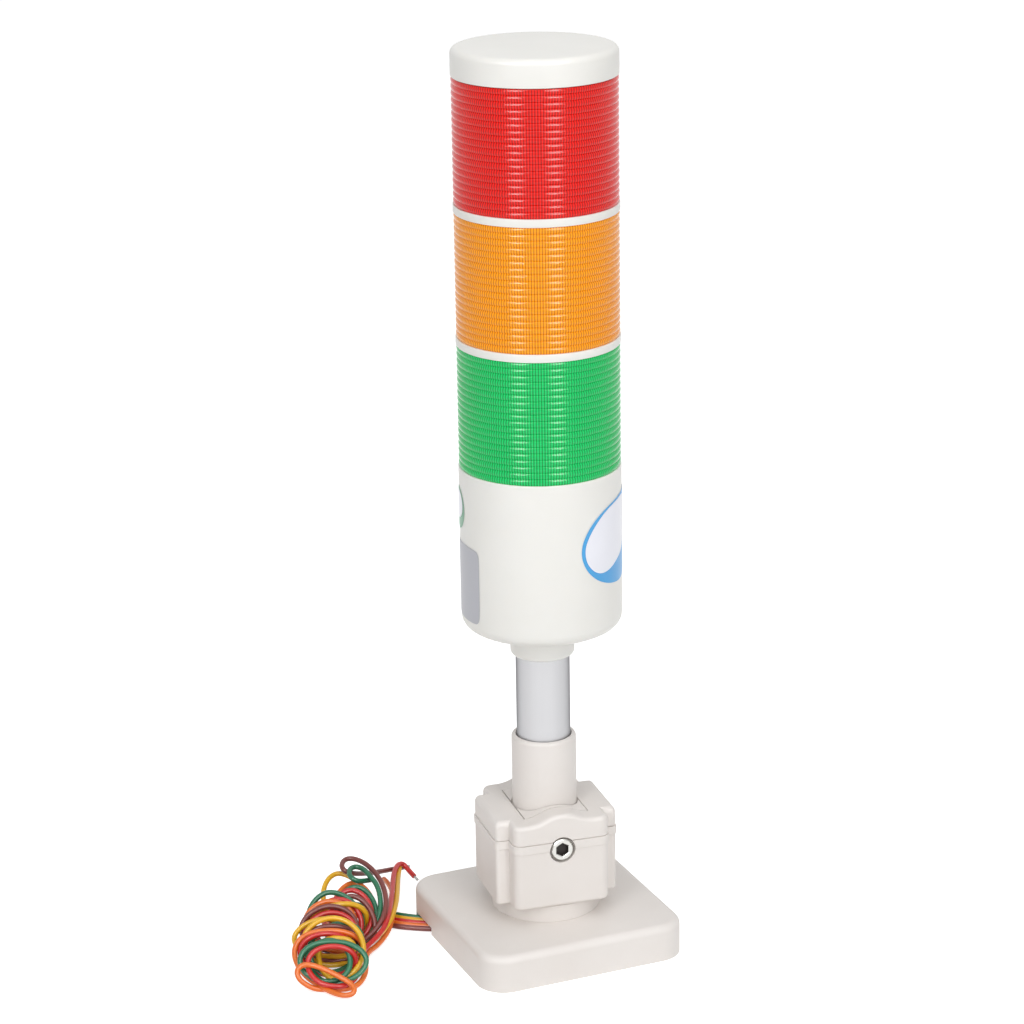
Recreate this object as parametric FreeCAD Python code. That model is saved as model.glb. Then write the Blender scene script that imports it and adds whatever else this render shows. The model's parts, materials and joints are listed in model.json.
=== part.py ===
import FreeCAD, Part
import math
import os

# Three-tier machine stack light on a folding, turning foot.
# Millimetres, +Z up, origin at the middle of the base's underside.
# The base is square to X and Y. Everything above the turret is built square too, with its
# hinge bolt along Y and its front at -Y, and is then turned about Z by turret_angle.

V = FreeCAD.Vector
UP = V(0, 0, 1)

# --- clearances -------------------------------------------------------------------------
run_fit = 0.05          # radial, a part that turns or slides in another
seat_fit = 0.15         # per side, a part dropped into its recess
slit = 0.3              # visible gap round the moving foot in the lid
face_gap = 0.1          # between faces that slide past each other

# --- base -------------------------------------------------------------------------------
base_side = 69.0
base_height = 12.0
base_corner = 9.0
base_top_round = 2.5
base_wall = 2.5
base_roof = 3.0
cover_thickness = 1.6
boss_inset = 11.5       # of the four fixing bosses from the base's sides
boss_radius = 4.5
insert_flats = 6.0
insert_bore = 1.65
cover_hole = 2.45       # for a fixing screw to pass
insert_length = 6.0
notch_width = 14.5      # where the leads leave, in the left wall
notch_height = 2.5
notch_middle = 21.0
notch_run_in = 3.8      # how far the notch goes on behind the wall
notch_reach = 6.0       # how far the cover is cut back behind the notch
rib_clear = 1.7         # between the ribs and the corners of the turret's nut
rib_thickness = 1.6
cover_screw_inset = 7.5
cover_screw_length = 6.0
cover_screw_radius = 1.5
cover_head_radius = 2.9
cover_head_height = 1.2
cover_boss_radius = 3.6

# --- turret -----------------------------------------------------------------------------
turret_angle = -6.0
turret_radius = 17.4
turret_height = 6.0
turret_edge = 0.8
spigot_radius = 8.0
spigot_bore = 5.0
spigot_reach = 6.6      # below the base's top face
nut_thickness = 3.0
nut_flats = 21.0
washer_radius = 11.5
washer_thickness = 0.5
turret_screw_offset = 9.3
turret_screw_radius = 1.5
turret_screw_head = 2.8
turret_screw_grip = 4.0

# --- hinge block ------------------------------------------------------------------------
block_width = 40.0      # X, across the cheeks
panel_wall = 6.35       # Y, of the front and back panels, down to the pocket
panel_width = 31.4
cheek_depth = 24.6
panel_corner = 2.8
cheek_corner = 1.5
body_height = 21.9
body_bottom_round = 1.0
bead_height = 2.9
bead_proud = 0.35
bead_round = 0.3
lid_height = 6.6        # flat part of the lid above the body
lid_panel_round = 1.5
lid_cheek_round = 2.0
arch_crest = 12.0       # radius of the lid's arch about the bolt
arch_blend = 12.0       # hollow radius that runs the arch into the flat
lid_wall = 2.2
bolt_drop = 2.8         # bolt axis below the body's rim
swing_clear = 0.3       # round the hub in its pocket

# --- hinge bolt -------------------------------------------------------------------------
bolt_radius = 2.5
bolt_head_radius = 3.6
bolt_head_height = 2.2
bolt_recess_radius = 4.25
bolt_recess_depth = 2.3
bolt_hex = 4.0
bolt_hex_depth = 1.6
bolt_nut_flats = 7.0
bolt_nut_height = 2.2

# --- tilting arm and pole ---------------------------------------------------------------
arm_radius = 10.25
arm_top = 70.0
arm_rim_round = 1.2
mouth_flare = 0.4       # of the socket's mouth, round the pole
mouth_depth = 1.0
foot_half_width = 10.3
foot_margin = 1.85      # how far the foot reaches past the tube, front and back
foot_groove = 0.35      # parts the tube from the foot's arch
foot_groove_depth = 1.0
pole_radius = 8.5
pole_wall = 1.3
pole_bottom = 52.0
pole_top = 119.0
wire_way = 5.0          # radius of the way for the leads through the hub
grub_radius = 1.5
grub_height = 60.0
grub_socket = 0.8

# --- lamp housing -----------------------------------------------------------------------
housing_radius = 25.1
housing_bottom = 107.0
housing_top = 159.4
housing_round = 4.0
housing_wall = 2.2
neck_radius = 10.1
neck_bottom = 97.0
neck_round = 1.2
pole_seat_top = 113.0
pole_nut_flats = 22.0
pole_nut_height = 4.0
post_radius = 2.5
post_offset = 15.0
board_level = 126.0
board_radius = 21.0
board_thickness = 1.6
board_bore = 5.0
part_spots = [(-13.0, 9.0), (12.0, 8.0), (0.0, 13.5), (-12.5, -8.0)]
part_sizes = [(6.0, 8.0, 9.0), (6.0, 8.0, 7.0), (14.0, 7.0, 11.0), (5.0, 8.0, 4.0)]
buzzer_spot = (3.0, -14.0)
buzzer_radius = 5.5
buzzer_height = 7.5
buzzer_hole = 1.0
buzzer_hole_depth = 1.5

# --- lenses, spacer rings and cap -------------------------------------------------------
lens_radius = 25.0
lens_height = 38.4
lens_wall = 2.0
lens_ribs = 19
rib_depth = 0.45
ring_height = 2.5
ring_proud = 0.1
spigot_wall = 1.8
spigot_depth = 2.4
web_thickness = 1.2
web_bore = 5.0
cap_height = 8.2
cap_wall = 1.8
cap_round = 2.0
gasket_thickness = 0.4
plate_thickness = 1.6
rod_radius = 1.5
rod_offset = 17.5
rod_nut_flats = 5.5
rod_nut_height = 2.4
column_side = 13.0
column_wall = 1.6
led_side = 5.0
led_thickness = 1.6
leds_per_face = 3

# --- flying leads -----------------------------------------------------------------------
lead_radius = 0.85
lead_lift = 0.1
lead_pitch = 1.9
hank_height = 18.0
hank_radius = 14.0
hank_round = 6.0
tip_length = 4.0
tip_radius = 0.4


# --- shape helpers ----------------------------------------------------------------------
def box(x0, x1, y0, y1, z0, z1):
    return Part.makeBox(x1 - x0, y1 - y0, z1 - z0, V(x0, y0, z0))


def rod(radius, z0, z1, x=0.0, y=0.0):
    return Part.makeCylinder(radius, z1 - z0, V(x, y, z0), UP)


def rod_y(radius, y0, y1, x=0.0, z=0.0):
    return Part.makeCylinder(radius, y1 - y0, V(x, y0, z), V(0, 1, 0))


def prism(points, height):
    corners = [V(*p) for p in points]
    face = Part.Face(Part.makePolygon(corners + corners[:1]))
    return face.extrude(height)


def hexagon(flats, z0, z1, x=0.0, y=0.0):
    reach = flats / math.sqrt(3)
    turns = [math.radians(60 * i) for i in range(6)]
    return prism([(x + reach * math.cos(t), y + reach * math.sin(t), z0) for t in turns], V(0, 0, z1 - z0))


def hexagon_y(flats, y0, y1, z):
    reach = flats / math.sqrt(3)
    turns = [math.radians(60 * i) for i in range(6)]
    return prism([(reach * math.cos(t), y0, z + reach * math.sin(t)) for t in turns], V(0, y1 - y0, 0))


def turned(profile):
    """Solid of revolution about Z from (radius, height) points."""
    corners = [V(r, 0, z) for r, z in profile]
    return Part.Face(Part.makePolygon(corners + corners[:1])).revolve(V(0, 0, 0), UP, 360)


def block(half_x, half_y, z0, z1, corner):
    """Upright block with its four vertical edges rounded."""
    solid = box(-half_x, half_x, -half_y, half_y, z0, z1)
    upright = [e for e in solid.Edges if abs(e.Vertexes[0].Z - e.Vertexes[-1].Z) > 0.5 * (z1 - z0)]
    return solid.makeFillet(corner, upright)


def edges_at(solid, z, tolerance=1e-4):
    return [e for e in solid.Edges if abs(e.BoundBox.ZMin - z) < tolerance and abs(e.BoundBox.ZMax - z) < tolerance]


def corners(reach):
    return [(sx * reach, sy * reach) for sx in (-1, 1) for sy in (-1, 1)]


def joined(solids):
    whole = solids[0]
    for solid in solids[1:]:
        whole = whole.fuse(solid)
    return whole.removeSplitter()


def tube_path(points, radius):
    """Round lead along straight runs joined by tangent arcs as large as the runs allow."""
    spots = [V(*p) for p in points]
    edges = []
    start = spots[0]
    radii = []
    for before, here, after in zip(spots, spots[1:], spots[2:]):
        incoming = (here - before).normalize()
        outgoing = (after - here).normalize()
        half_turn = incoming.getAngle(outgoing) / 2
        shorter = min((here - before).Length, (after - here).Length)
        bend = 0.45 * shorter / math.tan(half_turn)
        radii.append(bend)
        leave = here - incoming * (0.45 * shorter)
        join = here + outgoing * (0.45 * shorter)
        inward = (outgoing - incoming).normalize()
        middle = here + inward * (bend / math.cos(half_turn) - bend)
        edges.append(Part.LineSegment(start, leave).toShape())
        edges.append(Part.Arc(leave, middle, join).toShape())
        start = join
    edges.append(Part.LineSegment(start, spots[-1]).toShape())
    wire = Part.Wire(edges)
    first = (spots[1] - spots[0]).normalize()
    section = Part.Wire(Part.Circle(spots[0], first, radius).toShape())
    tube = wire.makePipeShell([section], True, False)
    wanted = math.pi * radius ** 2 * wire.Length
    print("  length %.1f, radii %s, volume ratio %.4f"
          % (wire.Length, [round(r, 1) for r in radii], tube.Volume / wanted))
    return tube


nodes = {}


def keep(name, shape, on_turret=False):
    if on_turret:
        shape = shape.copy()
        shape.rotate(V(0, 0, 0), UP, turret_angle)
    nodes[name] = shape


# --- base -------------------------------------------------------------------------------
boss_offset = base_side / 2 - boss_inset
cover_screw_offset = base_side / 2 - cover_screw_inset
rib_offset = nut_flats / math.sqrt(3) + rib_clear + rib_thickness / 2


def make_base_plate():
    half = base_side / 2
    plate = block(half, half, 0, base_height, base_corner)
    plate = plate.makeFillet(base_top_round, edges_at(plate, base_height))
    inner = half - base_wall
    roof_level = base_height - base_roof
    plate = plate.cut(block(inner, inner, 0, roof_level, base_corner - base_wall))
    bosses = [rod(boss_radius, cover_thickness, roof_level, x, y) for x, y in corners(boss_offset)]
    bosses += [rod(cover_boss_radius, cover_thickness, roof_level, 0, s * cover_screw_offset) for s in (-1, 1)]
    for side in (-1, 1):
        low, high = side * rib_offset - rib_thickness / 2, side * rib_offset + rib_thickness / 2
        bosses.append(box(low, high, -inner, inner, cover_thickness, roof_level))
        bosses.append(box(-inner, inner, low, high, cover_thickness, roof_level))
    plate = joined([plate] + bosses)
    pockets = [hexagon(insert_flats, cover_thickness, cover_thickness + insert_length, x, y)
               for x, y in corners(boss_offset)]
    pockets += [rod(cover_screw_radius, 0, cover_screw_length, 0, s * cover_screw_offset) for s in (-1, 1)]
    pockets.append(rod(spigot_radius + run_fit, roof_level, base_height))
    pockets.append(box(-half, notch_run_in - inner, notch_middle - notch_width / 2,
                       notch_middle + notch_width / 2, 0, notch_height))
    for pocket in pockets:
        plate = plate.cut(pocket)
    return plate


def make_base_cover():
    inner = base_side / 2 - base_wall - seat_fit
    cover = block(inner, inner, 0, cover_thickness, base_corner - base_wall - seat_fit)
    for x, y in corners(boss_offset):
        cover = cover.cut(rod(cover_hole, 0, cover_thickness, x, y))
    for side in (-1, 1):
        y = side * cover_screw_offset
        cover = cover.cut(rod(cover_screw_radius + seat_fit, 0, cover_thickness, 0, y))
        cover = cover.cut(rod(cover_head_radius + seat_fit, 0, cover_head_height, 0, y))
    return cover.cut(box(-base_side / 2, notch_reach - inner, notch_middle - notch_width / 2,
                         notch_middle + notch_width / 2, 0, cover_thickness))


def make_cover_screws():
    screws = []
    for side in (-1, 1):
        y = side * cover_screw_offset
        head = rod(cover_head_radius, 0.1, cover_head_height, 0, y)
        shank = rod(cover_screw_radius - 0.02, cover_head_height, cover_screw_length, 0, y)
        screws.append(head.fuse(shank))
    return Part.makeCompound(screws)


def make_mount_inserts():
    inserts = []
    for x, y in corners(boss_offset):
        nut = hexagon(insert_flats, cover_thickness, cover_thickness + insert_length, x, y)
        inserts.append(nut.cut(rod(insert_bore, cover_thickness, cover_thickness + insert_length, x, y)))
    return Part.makeCompound(inserts)


# --- turret -----------------------------------------------------------------------------
turret_top = base_height + turret_height
roof_level = base_height - base_roof


def turret_screw_places():
    return [(turret_screw_offset * math.cos(math.radians(a)), turret_screw_offset * math.sin(math.radians(a)))
            for a in (90, 210, 330)]


def make_turret():
    disc = turned([(spigot_bore, base_height - spigot_reach), (spigot_radius, base_height - spigot_reach),
                   (spigot_radius, base_height), (turret_radius, base_height),
                   (turret_radius, turret_top - turret_edge), (turret_radius - turret_edge, turret_top),
                   (spigot_bore, turret_top)])
    for x, y in turret_screw_places():
        disc = disc.cut(rod(turret_screw_radius, base_height + 1.5, turret_top, x, y))
    return disc


def make_turret_washer():
    top = roof_level - face_gap
    return rod(washer_radius, top - washer_thickness, top).cut(
        rod(spigot_radius + run_fit, top - washer_thickness, top))


def make_turret_nut():
    top = roof_level - face_gap - washer_thickness
    return hexagon(nut_flats, top - nut_thickness, top).cut(rod(spigot_radius, top - nut_thickness, top))


# --- hinge block ------------------------------------------------------------------------
rim_level = turret_top + body_height
pivot_level = rim_level - bolt_drop
lid_bottom = rim_level + face_gap
lid_top = rim_level + lid_height
arch_top = pivot_level + arch_crest
hub_half_length = arm_radius + foot_margin
wall_inner = hub_half_length + 2 * face_gap
block_depth = 2 * (wall_inner + panel_wall)
blend_up = lid_top - pivot_level + arch_blend
blend_out = math.sqrt((arch_crest + arch_blend) ** 2 - blend_up ** 2)


def plus_block(z0, z1, grow=0.0, edge_level=None, edge_round=0.0):
    """Panel crossed by the cheeks, with the edges at edge_level rounded."""
    solids = [block(panel_width / 2 + grow, block_depth / 2 + grow, z0, z1, panel_corner + grow),
              block(block_width / 2 + grow, cheek_depth / 2 + grow, z0, z1, cheek_corner + grow)]
    if edge_level is not None:
        solids = [solid.makeFillet(edge_round, edges_at(solid, edge_level)) for solid in solids]
    return joined(solids)


def arch(half_y, z0):
    """Panel-wide block whose top is flat at the sides and rises to the arch over the bolt."""
    half_x = panel_width / 2
    share = arch_crest / (arch_crest + arch_blend)
    join_x, join_z = blend_out * share, pivot_level + blend_up * share
    lean = math.atan2(blend_out, blend_up)
    dip_x = blend_out - arch_blend * math.sin(lean / 2)
    dip_z = lid_top + arch_blend - arch_blend * math.cos(lean / 2)

    def at(x, z):
        return V(x, -half_y, z)

    edges = [Part.LineSegment(at(-half_x, z0), at(-half_x, lid_top)),
             Part.LineSegment(at(-half_x, lid_top), at(-blend_out, lid_top)),
             Part.Arc(at(-blend_out, lid_top), at(-dip_x, dip_z), at(-join_x, join_z)),
             Part.Arc(at(-join_x, join_z), at(0, arch_top), at(join_x, join_z)),
             Part.Arc(at(join_x, join_z), at(dip_x, dip_z), at(blend_out, lid_top)),
             Part.LineSegment(at(blend_out, lid_top), at(half_x, lid_top)),
             Part.LineSegment(at(half_x, lid_top), at(half_x, z0)),
             Part.LineSegment(at(half_x, z0), at(-half_x, z0))]
    return Part.Face(Part.Wire([edge.toShape() for edge in edges])).extrude(V(0, 2 * half_y, 0))


def bolt_recesses():
    """Front recess for the bolt's head and back recess for its nut."""
    outside = block_depth / 2 + bead_proud
    head = rod_y(bolt_recess_radius, -outside, bolt_recess_depth - block_depth / 2, 0, pivot_level)
    nut = hexagon_y(bolt_nut_flats + 2 * seat_fit, block_depth / 2 - bolt_nut_height, outside, pivot_level)
    return [head, nut]


def make_hinge_body():
    body = plus_block(turret_top, rim_level, 0.0, turret_top, body_bottom_round)
    bead_bottom = rim_level - bead_height
    body = body.fuse(plus_block(bead_bottom, rim_level, bead_proud, bead_bottom, bead_round)).removeSplitter()
    hub_pocket = foot_half_width + swing_clear
    shoulder_rise = arch_blend - math.sqrt(arch_blend ** 2 - max(0.0, blend_out - foot_half_width) ** 2)
    shoulder_level = lid_top + shoulder_rise
    foot_swing = math.hypot(foot_half_width, shoulder_level - pivot_level) + swing_clear
    pocket = rod_y(hub_pocket, -wall_inner, wall_inner, 0, pivot_level)
    swing = rod_y(foot_swing, -wall_inner, wall_inner, 0, pivot_level)
    swing = swing.common(box(0, foot_swing, -wall_inner, wall_inner, pivot_level - hub_pocket, rim_level))
    mouth = box(-hub_pocket, foot_swing, -wall_inner, wall_inner, pivot_level, rim_level)
    way_out = arm_radius + swing_clear
    exit_slot = box(0, block_width / 2 + bead_proud, -way_out, way_out, pivot_level - way_out, rim_level)
    body = body.cut(joined([pocket, swing, mouth, exit_slot]))
    body = body.cut(rod(spigot_bore, turret_top, pivot_level))
    body = body.cut(rod_y(bolt_radius + run_fit, -block_depth / 2 - bead_proud, block_depth / 2 + bead_proud,
                          0, pivot_level))
    for recess in bolt_recesses():
        body = body.cut(recess)
    for x, y in turret_screw_places():
        body = body.cut(rod(turret_screw_radius + seat_fit, turret_top, pivot_level, x, y))
        body = body.cut(rod(turret_screw_head + seat_fit, turret_top + turret_screw_grip, pivot_level, x, y))
    return body


def make_turret_screws():
    screws = []
    for x, y in turret_screw_places():
        seat = turret_top + turret_screw_grip
        shank = rod(turret_screw_radius - 0.02, base_height + 2.0, seat, x, y)
        screws.append(shank.fuse(rod(turret_screw_head, seat, seat + 1.8, x, y)))
    return Part.makeCompound(screws)


def make_hinge_bolt():
    front = -block_depth / 2
    head = rod_y(bolt_head_radius, front, front + bolt_head_height, 0, pivot_level)
    head = head.cut(hexagon_y(bolt_hex, front, front + bolt_hex_depth, pivot_level))
    shank = rod_y(bolt_radius, front + bolt_head_height, block_depth / 2 - 0.2, 0, pivot_level)
    return head.fuse(shank)


def make_hinge_nut():
    back = block_depth / 2
    nut = hexagon_y(bolt_nut_flats, back - bolt_nut_height, back - 0.1, pivot_level)
    return nut.cut(rod_y(bolt_radius, back - bolt_nut_height, back - 0.1, 0, pivot_level))


def make_hinge_lid():
    panel = arch(block_depth / 2, lid_bottom)
    upright = [e for e in panel.Edges if e.BoundBox.XLength < 1e-4 and e.BoundBox.YLength < 1e-4]
    panel = panel.makeFillet(panel_corner, upright)
    panel = panel.makeFillet(lid_panel_round, [e for e in panel.Edges if e.BoundBox.ZMin > lid_top - 1e-4
                                         and e.BoundBox.YLength + e.BoundBox.XLength > 0
                                         and (e.BoundBox.YLength < 3 or e.BoundBox.XLength < 1e-4)])
    cheeks = block(block_width / 2, cheek_depth / 2, lid_bottom, lid_top, cheek_corner)
    cheeks = cheeks.makeFillet(lid_cheek_round, edges_at(cheeks, lid_top))
    lid = joined([panel, cheeks])
    hollow = foot_half_width + slit
    lid = lid.cut(box(-hollow, hollow, -wall_inner, wall_inner, lid_bottom, arch_top))
    inner_x = block_width / 2 - lid_wall
    inner_y = cheek_depth / 2 - lid_wall
    lid = lid.cut(box(-inner_x, inner_x, -inner_y, inner_y, lid_bottom, lid_top - lid_wall))
    for recess in bolt_recesses():
        lid = lid.cut(recess)
    return lid


# --- tilting arm and pole ---------------------------------------------------------------
def make_tilt_arm():
    hub = rod_y(foot_half_width, -hub_half_length, hub_half_length, 0, pivot_level)
    foot = arch(hub_half_length, pivot_level).common(
        box(-foot_half_width, foot_half_width, -hub_half_length, hub_half_length, pivot_level, arch_top))
    foot = foot.cut(rod(arm_radius + foot_groove, lid_top - foot_groove_depth, arch_top))
    socket = rod(arm_radius, pivot_level, arm_top)
    socket = socket.makeFillet(arm_rim_round, edges_at(socket, arm_top))
    arm = joined([hub, foot, socket])
    bore = pole_radius + run_fit
    arm = arm.cut(rod(bore, pole_bottom, arm_top))
    arm = arm.cut(turned([(0, arm_top - mouth_depth), (bore, arm_top - mouth_depth), (bore + mouth_flare, arm_top),
                          (0, arm_top)]))
    arm = arm.cut(rod_y(bolt_radius + run_fit, -hub_half_length, hub_half_length, 0, pivot_level))
    arm = arm.cut(rod(wire_way, pivot_level - foot_half_width, pole_bottom))
    return arm.cut(rod_y(grub_radius, 0, arm_radius, 0, grub_height))


def make_mast_pole():
    return rod(pole_radius, pole_bottom, pole_top).cut(rod(pole_radius - pole_wall, pole_bottom, pole_top))


def make_pole_screw():
    screw = rod_y(grub_radius - 0.02, pole_radius + 0.02, arm_radius - 0.2, 0, grub_height)
    return screw.cut(hexagon_y(2 * grub_socket, arm_radius - 1.2, arm_radius, grub_height))


# --- lamp housing -----------------------------------------------------------------------
floor_level = housing_bottom + housing_wall
green_bottom = housing_top
ring_lower_bottom = green_bottom + lens_height
amber_bottom = ring_lower_bottom + ring_height
ring_upper_bottom = amber_bottom + lens_height
red_bottom = ring_upper_bottom + ring_height
cap_bottom = red_bottom + lens_height
cap_top = cap_bottom + cap_height + gasket_thickness
lens_bore = lens_radius - lens_wall
spigot_outer = lens_bore - seat_fit
spigot_inner = spigot_outer - spigot_wall


def post_places():
    return [(post_offset * math.cos(math.radians(a)), post_offset * math.sin(math.radians(a)))
            for a in (30, 150, 270)]


def rod_places():
    return [(-rod_offset, 0), (rod_offset, 0)]


def make_housing():
    outer = turned([(0, neck_bottom), (neck_radius, neck_bottom), (neck_radius, housing_bottom),
                    (housing_radius, housing_bottom), (housing_radius, housing_top), (0, housing_top)])
    outer = outer.makeFillet(housing_round, [e for e in edges_at(outer, housing_bottom)
                                             if abs(e.Curve.Radius - housing_radius) < 1e-3])
    outer = outer.makeFillet(neck_round, edges_at(outer, neck_bottom))
    inner_radius = housing_radius - housing_wall
    shell = outer.cut(turned([(0, floor_level), (inner_radius - 2, floor_level), (inner_radius, floor_level + 2),
                              (inner_radius, housing_top), (0, housing_top)]))
    shell = shell.fuse(rod(pole_nut_flats / 2, housing_bottom, pole_seat_top))
    posts = [rod(post_radius, housing_bottom + 1, board_level, x, y) for x, y in post_places()]
    shell = joined([shell] + posts)
    lip = turned([(spigot_inner, housing_top - 4), (inner_radius, housing_top - 6), (inner_radius, housing_top),
                  (spigot_outer, housing_top), (spigot_outer, housing_top + spigot_depth),
                  (spigot_inner, housing_top + spigot_depth)])
    shell = shell.fuse(lip).removeSplitter()
    return shell.cut(rod(pole_radius + run_fit, neck_bottom, pole_seat_top))


def make_pole_nut():
    nut = hexagon(pole_nut_flats, pole_seat_top, pole_seat_top + pole_nut_height)
    return nut.cut(rod(pole_radius + 0.02, pole_seat_top, pole_seat_top + pole_nut_height))


def make_driver_board():
    board = rod(board_radius, board_level, board_level + board_thickness)
    board = board.cut(rod(board_bore, board_level, board_level + board_thickness))
    for x, y in rod_places():
        board = board.cut(rod(rod_radius + 0.4, board_level, board_level + board_thickness, x, y))
    return board


def make_driver_parts():
    z = board_level + board_thickness
    parts = []
    for (x, y), (width, depth, height) in zip(part_spots, part_sizes):
        parts.append(box(x - width / 2, x + width / 2, y - depth / 2, y + depth / 2, z, z + height))
    return Part.makeCompound(parts)


def make_buzzer():
    z = board_level + board_thickness
    top = z + buzzer_height
    shell = rod(buzzer_radius, z, top, *buzzer_spot)
    return shell.cut(rod(buzzer_hole, top - buzzer_hole_depth, top, *buzzer_spot))


# --- lenses, rings and cap --------------------------------------------------------------
def make_lens(bottom):
    """Round lens whose wall is a stack of equal V-edged ribs."""
    top = bottom + lens_height
    pitch = lens_height / lens_ribs
    profile = [(lens_bore, top), (lens_bore, bottom)]
    for rib in range(lens_ribs):
        profile.append((lens_radius - rib_depth, bottom + rib * pitch))
        profile.append((lens_radius, bottom + (rib + 0.5) * pitch))
    profile.append((lens_radius - rib_depth, top))
    return turned(profile)


def make_ring(bottom):
    top = bottom + ring_height
    middle = (bottom + top) / 2
    outer = lens_radius + ring_proud
    ring = turned([(spigot_outer, bottom), (outer, bottom), (outer, top), (spigot_outer, top),
                   (spigot_outer, top + spigot_depth), (spigot_inner, top + spigot_depth),
                   (spigot_inner, middle + web_thickness / 2), (web_bore, middle + web_thickness / 2),
                   (web_bore, middle - web_thickness / 2), (spigot_inner, middle - web_thickness / 2),
                   (spigot_inner, bottom - spigot_depth), (spigot_outer, bottom - spigot_depth)])
    for x, y in rod_places():
        ring = ring.cut(rod(rod_radius + 0.1, middle - 2, middle + 2, x, y))
    return ring


def make_top_plate():
    plate = turned([(0, cap_bottom), (lens_radius - 1, cap_bottom), (lens_radius - 1, cap_bottom + plate_thickness),
                    (0, cap_bottom + plate_thickness)])
    for x, y in rod_places():
        plate = plate.cut(rod(rod_radius + 0.1, cap_bottom, cap_bottom + plate_thickness, x, y))
    return plate


def make_top_cap():
    cap = rod(housing_radius, cap_bottom + gasket_thickness, cap_top)
    cap = cap.makeFillet(cap_round, edges_at(cap, cap_top))
    inner = lens_radius - 1 + seat_fit
    return cap.cut(rod(inner, cap_bottom, cap_top - cap_wall))


def make_cap_gasket():
    inner = lens_radius - 1 + seat_fit
    return rod(lens_radius - 0.2, cap_bottom, cap_bottom + gasket_thickness).cut(
        rod(inner, cap_bottom, cap_bottom + gasket_thickness))


def make_tie_rods():
    top = cap_bottom + plate_thickness + rod_nut_height + 1
    return Part.makeCompound([rod(rod_radius, floor_level, top, x, y) for x, y in rod_places()])


def make_tie_nuts():
    z = cap_bottom + plate_thickness
    return Part.makeCompound([hexagon(rod_nut_flats, z, z + rod_nut_height, x, y).cut(
        rod(rod_radius, z, z + rod_nut_height, x, y)) for x, y in rod_places()])


def make_led_column(z0, z1):
    half = column_side / 2
    inner = half - column_wall
    return box(-half, half, -half, half, z0, z1).cut(box(-inner, inner, -inner, inner, z0, z1))


def make_leds(z0, z1):
    half = column_side / 2
    pitch = (z1 - z0) / (leds_per_face + 1)
    chips = []
    for step in range(leds_per_face):
        z = z0 + (step + 1) * pitch
        for turn in range(4):
            chip = box(half, half + led_thickness, -led_side / 2, led_side / 2, z - led_side / 2, z + led_side / 2)
            chip.rotate(V(0, 0, 0), UP, 90 * turn)
            chips.append(chip)
    return Part.makeCompound(chips)


# --- flying leads -----------------------------------------------------------------------
hank_front = V(-75.0, 0.0, 0.0)
hank_back = V(-54.0, 44.0, 0.0)
lane_height = lead_radius + lead_lift
exit_run = [(4.0, -2.2), (0.0, 0.0), (-4.5, 5.2), (-8.5, 11.2), (-11.7, 16.8)]  # middle lead, from the notch's mouth
lead_names = ["brown", "orange", "red", "yellow", "green"]
free_ends = {
    "brown": [(-50.0, 50.0, 5.0), (-40.5, 55.5, 5.0), (-31.0, 58.5, 4.0), (-25.5, 60.5, 3.5)],
    "orange": [(-57.0, 10.0, 7.0), (-50.0, 22.5, 7.5), (-42.5, 37.0, 6.0), (-37.0, 49.0, 4.0)],
    "red": [(-58.0, 0.0, 6.5), (-46.0, 15.0, 6.0), (-38.5, 34.0, 5.0), (-28.5, 47.5, 3.0)],
    "yellow": [(-57.0, 5.0, 9.5), (-45.5, 21.0, 8.5), (-38.0, 41.0, 7.0), (-30.0, 54.0, 5.0)],
}


def lane(index):
    """Run of one lead along the floor, beside the middle one at a whole number of pitches."""
    mouth = V(-base_side / 2, notch_middle, lane_height)
    middle = [mouth + V(x, y, 0) for x, y in exit_run]
    points = []
    for spot, before, after in zip(middle, middle[:1] + middle, middle[1:] + middle[-1:]):
        across = (after - before).normalize().cross(UP)
        points.append(tuple(spot + across * ((index - 2) * lead_pitch)))
    return points


def make_hank():
    along = (hank_back - hank_front).normalize()
    across = along.cross(UP)
    reach = hank_radius
    a, b = hank_front + across * reach, hank_back + across * reach
    c, d = hank_back - across * reach, hank_front - across * reach
    outline = Part.Wire([
        Part.LineSegment(a, b).toShape(), Part.Arc(b, hank_back + along * reach, c).toShape(),
        Part.LineSegment(c, d).toShape(), Part.Arc(d, hank_front - along * reach, a).toShape()])
    solid = Part.Face(outline).extrude(V(0, 0, hank_height))
    return solid.makeFillet(hank_round, edges_at(solid, hank_height))


def make_lead(index, name):
    print("lead", name)
    pieces = [tube_path(lane(index), lead_radius)]
    if name in free_ends:
        pieces.append(tube_path(free_ends[name], lead_radius))
    return Part.makeCompound(pieces)


def make_lead_tips():
    tips = []
    for name in free_ends:
        before, end = [V(*p) for p in free_ends[name][-2:]]
        tips.append(Part.makeCylinder(tip_radius, tip_length, end, (end - before).normalize()))
    return Part.makeCompound(tips)


# --- every node -------------------------------------------------------------------------
keep("base_plate", make_base_plate())
keep("base_cover", make_base_cover())
keep("cover_screws", make_cover_screws())
keep("mount_inserts", make_mount_inserts())

keep("turret", make_turret(), True)
keep("turret_washer", make_turret_washer(), True)
keep("turret_nut", make_turret_nut(), True)
keep("turret_screws", make_turret_screws(), True)
keep("hinge_body", make_hinge_body(), True)
keep("hinge_bolt", make_hinge_bolt(), True)
keep("hinge_nut", make_hinge_nut(), True)
keep("hinge_lid", make_hinge_lid(), True)

keep("tilt_arm", make_tilt_arm(), True)
keep("mast_pole", make_mast_pole(), True)
keep("pole_screw", make_pole_screw(), True)
keep("housing", make_housing(), True)
keep("pole_nut", make_pole_nut(), True)
keep("driver_board", make_driver_board(), True)
keep("driver_parts", make_driver_parts(), True)
keep("buzzer", make_buzzer(), True)

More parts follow.
